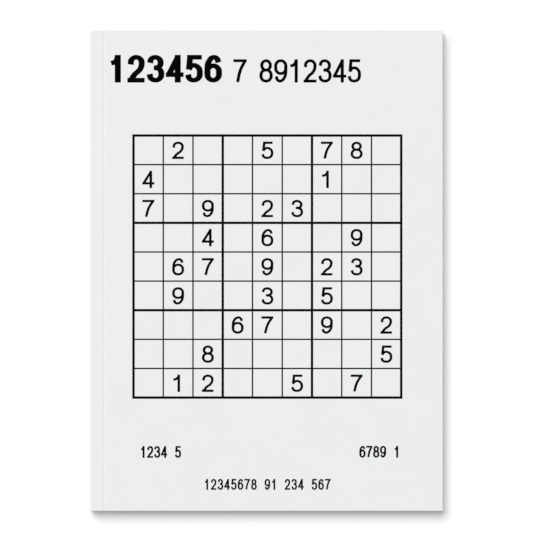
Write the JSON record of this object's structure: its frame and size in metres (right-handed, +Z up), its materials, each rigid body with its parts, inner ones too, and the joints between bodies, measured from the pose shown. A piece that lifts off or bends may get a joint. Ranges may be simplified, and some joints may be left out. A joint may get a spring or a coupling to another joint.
{
  "type": "sudoku puzzle book",
  "caption": "Closed glued paperback puzzle book: a white card cover creased beside the spine, and thin paper leaves that fan out as the front cover opens.",
  "frame": {"origin": "middle of the back cover's underside, on the surface that the closed book lies on", "axes": "+X across the width from the spine to the fore edge, +Y up the page from the tail to the head, +Z up out of the front cover"},
  "size_m": [0.2032, 0.2762, 0.0079],
  "materials": {
    "cover_card": "satin",
    "leaf_paper": "matte",
    "binding_glue": "satin",
    "print_ink": "matte"
  },
  "bodies": {
    "binding": {"spine_cover": "cover_card", "spine_glue": "binding_glue", "front_side_glue": "binding_glue", "back_side_glue": "binding_glue", "section_1_bound_edge": "leaf_paper", "section_2_bound_edge": "leaf_paper", "section_3_bound_edge": "leaf_paper", "section_4_bound_edge": "leaf_paper", "section_5_bound_edge": "leaf_paper", "section_6_bound_edge": "leaf_paper", "section_7_bound_edge": "leaf_paper", "section_8_bound_edge": "leaf_paper"},
    "front_cover": {"front_cover": "cover_card"},
    "back_cover": {"back_cover": "cover_card"},
    "leaf_01": {"leaf_01": "leaf_paper"},
    "leaf_02": {"leaf_02": "leaf_paper"},
    "leaf_03": {"leaf_03": "leaf_paper"},
    "leaf_04": {"leaf_04": "leaf_paper"},
    "leaf_05": {"leaf_05": "leaf_paper"},
    "leaf_06": {"leaf_06": "leaf_paper"},
    "leaf_07": {"leaf_07": "leaf_paper"},
    "leaf_08": {"leaf_08": "leaf_paper"},
    "leaf_09": {"leaf_09": "leaf_paper"},
    "leaf_10": {"leaf_10": "leaf_paper"},
    "leaf_11": {"leaf_11": "leaf_paper"},
    "leaf_12": {"leaf_12": "leaf_paper"},
    "leaf_13": {"leaf_13": "leaf_paper"},
    "leaf_14": {"leaf_14": "leaf_paper"},
    "leaf_15": {"leaf_15": "leaf_paper"},
    "leaf_16": {"leaf_16": "leaf_paper"},
    "leaf_17": {"leaf_17": "leaf_paper"},
    "leaf_18": {"leaf_18": "leaf_paper"},
    "leaf_19": {"leaf_19": "leaf_paper"},
    "leaf_20": {"leaf_20": "leaf_paper"},
    "leaf_21": {"leaf_21": "leaf_paper"},
    "leaf_22": {"leaf_22": "leaf_paper"},
    "leaf_23": {"leaf_23": "leaf_paper"},
    "leaf_24": {"leaf_24": "leaf_paper"},
    "leaf_25": {"leaf_25": "leaf_paper"},
    "leaf_26": {"leaf_26": "leaf_paper"},
    "leaf_27": {"leaf_27": "leaf_paper"},
    "leaf_28": {"leaf_28": "leaf_paper"},
    "leaf_29": {"leaf_29": "leaf_paper"},
    "leaf_30": {"leaf_30": "leaf_paper"},
    "leaf_31": {"leaf_31": "leaf_paper"},
    "leaf_32": {"leaf_32": "leaf_paper"},
    "leaf_33": {"leaf_33": "leaf_paper"},
    "leaf_34": {"leaf_34": "leaf_paper"},
    "leaf_35": {"leaf_35": "leaf_paper"},
    "leaf_36": {"leaf_36": "leaf_paper"},
    "leaf_37": {"leaf_37": "leaf_paper"},
    "leaf_38": {"leaf_38": "leaf_paper"},
    "leaf_39": {"leaf_39": "leaf_paper"},
    "leaf_40": {"leaf_40": "leaf_paper"},
    "section_6_leaves": {"section_6_leaves": "leaf_paper"},
    "section_7_leaves": {"section_7_leaves": "leaf_paper"},
    "section_8_leaves": {"section_8_leaves": "leaf_paper"}
  },
  "joints": [
    {"name": "front_cover_hinge", "type": "hinge", "parent": "binding", "child": "front_cover", "pos_m": [-0.09305, 0, 0.00791], "axis": [0, -1, 0], "range_deg": [0, 178]},
    {"name": "back_cover_hinge", "type": "hinge", "parent": "binding", "child": "back_cover", "pos_m": [-0.09305, 0, 0], "axis": [0, 1, 0], "range_deg": [0, 178]},
    {"name": "leaf_01_turn", "type": "hinge", "parent": "binding", "child": "leaf_01", "pos_m": [-0.09305, 0, 0.00791], "axis": [0, -1, 0], "range_deg": [0, 176.79]},
    {"name": "leaf_02_turn", "type": "hinge", "parent": "binding", "child": "leaf_02", "pos_m": [-0.09305, 0, 0.00791], "axis": [0, -1, 0], "range_deg": [0, 175.17]},
    {"name": "leaf_03_turn", "type": "hinge", "parent": "binding", "child": "leaf_03", "pos_m": [-0.09305, 0, 0.00791], "axis": [0, -1, 0], "range_deg": [0, 173.2]},
    {"name": "leaf_04_turn", "type": "hinge", "parent": "binding", "child": "leaf_04", "pos_m": [-0.09305, 0, 0.00791], "axis": [0, -1, 0], "range_deg": [0, 170.85]},
    {"name": "leaf_05_turn", "type": "hinge", "parent": "binding", "child": "leaf_05", "pos_m": [-0.09305, 0, 0.00791], "axis": [0, -1, 0], "range_deg": [0, 168.16]},
    {"name": "leaf_06_turn", "type": "hinge", "parent": "binding", "child": "leaf_06", "pos_m": [-0.09305, 0, 0.00791], "axis": [0, -1, 0], "range_deg": [0, 165.17]},
    {"name": "leaf_07_turn", "type": "hinge", "parent": "binding", "child": "leaf_07", "pos_m": [-0.09305, 0, 0.00791], "axis": [0, -1, 0], "range_deg": [0, 161.86]},
    {"name": "leaf_08_turn", "type": "hinge", "parent": "binding", "child": "leaf_08", "pos_m": [-0.09305, 0, 0.00791], "axis": [0, -1, 0], "range_deg": [0, 158.28]},
    {"name": "leaf_09_turn", "type": "hinge", "parent": "binding", "child": "leaf_09", "pos_m": [-0.09305, 0, 0.00791], "axis": [0, -1, 0], "range_deg": [0, 154.44]},
    {"name": "leaf_10_turn", "type": "hinge", "parent": "binding", "child": "leaf_10", "pos_m": [-0.09305, 0, 0.00791], "axis": [0, -1, 0], "range_deg": [0, 150.34]},
    {"name": "leaf_11_turn", "type": "hinge", "parent": "binding", "child": "leaf_11", "pos_m": [-0.09305, 0, 0.00791], "axis": [0, -1, 0], "range_deg": [0, 146.02]},
    {"name": "leaf_12_turn", "type": "hinge", "parent": "binding", "child": "leaf_12", "pos_m": [-0.09305, 0, 0.00791], "axis": [0, -1, 0], "range_deg": [0, 141.5]},
    {"name": "leaf_13_turn", "type": "hinge", "parent": "binding", "child": "leaf_13", "pos_m": [-0.09305, 0, 0.00791], "axis": [0, -1, 0], "range_deg": [0, 136.78]},
    {"name": "leaf_14_turn", "type": "hinge", "parent": "binding", "child": "leaf_14", "pos_m": [-0.09305, 0, 0.00791], "axis": [0, -1, 0], "range_deg": [0, 131.9]},
    {"name": "leaf_15_turn", "type": "hinge", "parent": "binding", "child": "leaf_15", "pos_m": [-0.09305, 0, 0.00791], "axis": [0, -1, 0], "range_deg": [0, 126.87]},
    {"name": "leaf_16_turn", "type": "hinge", "parent": "binding", "child": "leaf_16", "pos_m": [-0.09305, 0, 0.00791], "axis": [0, -1, 0], "range_deg": [0, 121.7]},
    {"name": "leaf_17_turn", "type": "hinge", "parent": "binding", "child": "leaf_17", "pos_m": [-0.09305, 0, 0.00791], "axis": [0, -1, 0], "range_deg": [0, 116.42]},
    {"name": "leaf_18_turn", "type": "hinge", "parent": "binding", "child": "leaf_18", "pos_m": [-0.09305, 0, 0.00791], "axis": [0, -1, 0], "range_deg": [0, 111.06]},
    {"name": "leaf_19_turn", "type": "hinge", "parent": "binding", "child": "leaf_19", "pos_m": [-0.09305, 0, 0.00791], "axis": [0, -1, 0], "range_deg": [0, 105.61]},
    {"name": "leaf_20_turn", "type": "hinge", "parent": "binding", "child": "leaf_20", "pos_m": [-0.09305, 0, 0.00791], "axis": [0, -1, 0], "range_deg": [0, 100.11]},
    {"name": "leaf_21_turn", "type": "hinge", "parent": "binding", "child": "leaf_21", "pos_m": [-0.09305, 0, 0.00791], "axis": [0, -1, 0], "range_deg": [0, 94.56]},
    {"name": "leaf_22_turn", "type": "hinge", "parent": "binding", "child": "leaf_22", "pos_m": [-0.09305, 0, 0.00791], "axis": [0, -1, 0], "range_deg": [0, 89]},
    {"name": "leaf_23_turn", "type": "hinge", "parent": "binding", "child": "leaf_23", "pos_m": [-0.09305, 0, 0.00791], "axis": [0, -1, 0], "range_deg": [0, 83.45]},
    {"name": "leaf_24_turn", "type": "hinge", "parent": "binding", "child": "leaf_24", "pos_m": [-0.09305, 0, 0.00791], "axis": [0, -1, 0], "range_deg": [0, 77.9]},
    {"name": "leaf_25_turn", "type": "hinge", "parent": "binding", "child": "leaf_25", "pos_m": [-0.09305, 0, 0.00791], "axis": [0, -1, 0], "range_deg": [0, 72.4]},
    {"name": "leaf_26_turn", "type": "hinge", "parent": "binding", "child": "leaf_26", "pos_m": [-0.09305, 0, 0.00791], "axis": [0, -1, 0], "range_deg": [0, 66.95]},
    {"name": "leaf_27_turn", "type": "hinge", "parent": "binding", "child": "leaf_27", "pos_m": [-0.09305, 0, 0.00791], "axis": [0, -1, 0], "range_deg": [0, 61.59]},
    {"name": "leaf_28_turn", "type": "hinge", "parent": "binding", "child": "leaf_28", "pos_m": [-0.09305, 0, 0.00791], "axis": [0, -1, 0], "range_deg": [0, 56.31]},
    {"name": "leaf_29_turn", "type": "hinge", "parent": "binding", "child": "leaf_29", "pos_m": [-0.09305, 0, 0.00791], "axis": [0, -1, 0], "range_deg": [0, 51.14]},
    {"name": "leaf_30_turn", "type": "hinge", "parent": "binding", "child": "leaf_30", "pos_m": [-0.09305, 0, 0.00791], "axis": [0, -1, 0], "range_deg": [0, 46.11]},
    {"name": "leaf_31_turn", "type": "hinge", "parent": "binding", "child": "leaf_31", "pos_m": [-0.09305, 0, 0.00791], "axis": [0, -1, 0], "range_deg": [0, 41.23]},
    {"name": "leaf_32_turn", "type": "hinge", "parent": "binding", "child": "leaf_32", "pos_m": [-0.09305, 0, 0.00791], "axis": [0, -1, 0], "range_deg": [0, 36.51]},
    {"name": "leaf_33_turn", "type": "hinge", "parent": "binding", "child": "leaf_33", "pos_m": [-0.09305, 0, 0.00791], "axis": [0, -1, 0], "range_deg": [0, 31.99]},
    {"name": "leaf_34_turn", "type": "hinge", "parent": "binding", "child": "leaf_34", "pos_m": [-0.09305, 0, 0.00791], "axis": [0, -1, 0], "range_deg": [0, 27.67]},
    {"name": "leaf_35_turn", "type": "hinge", "parent": "binding", "child": "leaf_35", "pos_m": [-0.09305, 0, 0.00791], "axis": [0, -1, 0], "range_deg": [0, 23.57]},
    {"name": "leaf_36_turn", "type": "hinge", "parent": "binding", "child": "leaf_36", "pos_m": [-0.09305, 0, 0.00791], "axis": [0, -1, 0], "range_deg": [0, 19.73]},
    {"name": "leaf_37_turn", "type": "hinge", "parent": "binding", "child": "leaf_37", "pos_m": [-0.09305, 0, 0.00791], "axis": [0, -1, 0], "range_deg": [0, 16.15]},
    {"name": "leaf_38_turn", "type": "hinge", "parent": "binding", "child": "leaf_38", "pos_m": [-0.09305, 0, 0.00791], "axis": [0, -1, 0], "range_deg": [0, 12.84]},
    {"name": "leaf_39_turn", "type": "hinge", "parent": "binding", "child": "leaf_39", "pos_m": [-0.09305, 0, 0.00791], "axis": [0, -1, 0], "range_deg": [0, 9.85]},
    {"name": "leaf_40_turn", "type": "hinge", "parent": "binding", "child": "leaf_40", "pos_m": [-0.09305, 0, 0.00791], "axis": [0, -1, 0], "range_deg": [0, 7.16]},
    {"name": "section_6_turn", "type": "hinge", "parent": "binding", "child": "section_6_leaves", "pos_m": [-0.09305, 0, 0.00791], "axis": [0, -1, 0], "range_deg": [0, 4.81]},
    {"name": "section_7_turn", "type": "hinge", "parent": "binding", "child": "section_7_leaves", "pos_m": [-0.09305, 0, 0.00791], "axis": [0, -1, 0], "range_deg": [0, 2.84]},
    {"name": "section_8_turn", "type": "hinge", "parent": "binding", "child": "section_8_leaves", "pos_m": [-0.09305, 0, 0.00791], "axis": [0, -1, 0], "range_deg": [0, 1.22]}
  ],
  "couplings": [
    {"joint": "leaf_01_turn", "follows": "front_cover_hinge", "ratio": 0.9932},
    {"joint": "leaf_02_turn", "follows": "front_cover_hinge", "ratio": 0.9841},
    {"joint": "leaf_03_turn", "follows": "front_cover_hinge", "ratio": 0.973},
    {"joint": "leaf_04_turn", "follows": "front_cover_hinge", "ratio": 0.9598},
    {"joint": "leaf_05_turn", "follows": "front_cover_hinge", "ratio": 0.9447},
    {"joint": "leaf_06_turn", "follows": "front_cover_hinge", "ratio": 0.9279},
    {"joint": "leaf_07_turn", "follows": "front_cover_hinge", "ratio": 0.9093},
    {"joint": "leaf_08_turn", "follows": "front_cover_hinge", "ratio": 0.8892},
    {"joint": "leaf_09_turn", "follows": "front_cover_hinge", "ratio": 0.8676},
    {"joint": "leaf_10_turn", "follows": "front_cover_hinge", "ratio": 0.8446},
    {"joint": "leaf_11_turn", "follows": "front_cover_hinge", "ratio": 0.8203},
    {"joint": "leaf_12_turn", "follows": "front_cover_hinge", "ratio": 0.7949},
    {"joint": "leaf_13_turn", "follows": "front_cover_hinge", "ratio": 0.7684},
    {"joint": "leaf_14_turn", "follows": "front_cover_hinge", "ratio": 0.741},
    {"joint": "leaf_15_turn", "follows": "front_cover_hinge", "ratio": 0.7127},
    {"joint": "leaf_16_turn", "follows": "front_cover_hinge", "ratio": 0.6837},
    {"joint": "leaf_17_turn", "follows": "front_cover_hinge", "ratio": 0.654},
    {"joint": "leaf_18_turn", "follows": "front_cover_hinge", "ratio": 0.6239},
    {"joint": "leaf_19_turn", "follows": "front_cover_hinge", "ratio": 0.5933},
    {"joint": "leaf_20_turn", "follows": "front_cover_hinge", "ratio": 0.5624},
    {"joint": "leaf_21_turn", "follows": "front_cover_hinge", "ratio": 0.5312},
    {"joint": "leaf_22_turn", "follows": "front_cover_hinge", "ratio": 0.5},
    {"joint": "leaf_23_turn", "follows": "front_cover_hinge", "ratio": 0.4688},
    {"joint": "leaf_24_turn", "follows": "front_cover_hinge", "ratio": 0.4376},
    {"joint": "leaf_25_turn", "follows": "front_cover_hinge", "ratio": 0.4067},
    {"joint": "leaf_26_turn", "follows": "front_cover_hinge", "ratio": 0.3761},
    {"joint": "leaf_27_turn", "follows": "front_cover_hinge", "ratio": 0.346},
    {"joint": "leaf_28_turn", "follows": "front_cover_hinge", "ratio": 0.3163},
    {"joint": "leaf_29_turn", "follows": "front_cover_hinge", "ratio": 0.2873},
    {"joint": "leaf_30_turn", "follows": "front_cover_hinge", "ratio": 0.259},
    {"joint": "leaf_31_turn", "follows": "front_cover_hinge", "ratio": 0.2316},
    {"joint": "leaf_32_turn", "follows": "front_cover_hinge", "ratio": 0.2051},
    {"joint": "leaf_33_turn", "follows": "front_cover_hinge", "ratio": 0.1797},
    {"joint": "leaf_34_turn", "follows": "front_cover_hinge", "ratio": 0.1554},
    {"joint": "leaf_35_turn", "follows": "front_cover_hinge", "ratio": 0.1324},
    {"joint": "leaf_36_turn", "follows": "front_cover_hinge", "ratio": 0.1108},
    {"joint": "leaf_37_turn", "follows": "front_cover_hinge", "ratio": 0.0907},
    {"joint": "leaf_38_turn", "follows": "front_cover_hinge", "ratio": 0.0721},
    {"joint": "leaf_39_turn", "follows": "front_cover_hinge", "ratio": 0.0553},
    {"joint": "leaf_40_turn", "follows": "front_cover_hinge", "ratio": 0.0402},
    {"joint": "section_6_turn", "follows": "front_cover_hinge", "ratio": 0.027},
    {"joint": "section_7_turn", "follows": "front_cover_hinge", "ratio": 0.0159},
    {"joint": "section_8_turn", "follows": "front_cover_hinge", "ratio": 0.0068}
  ]
}
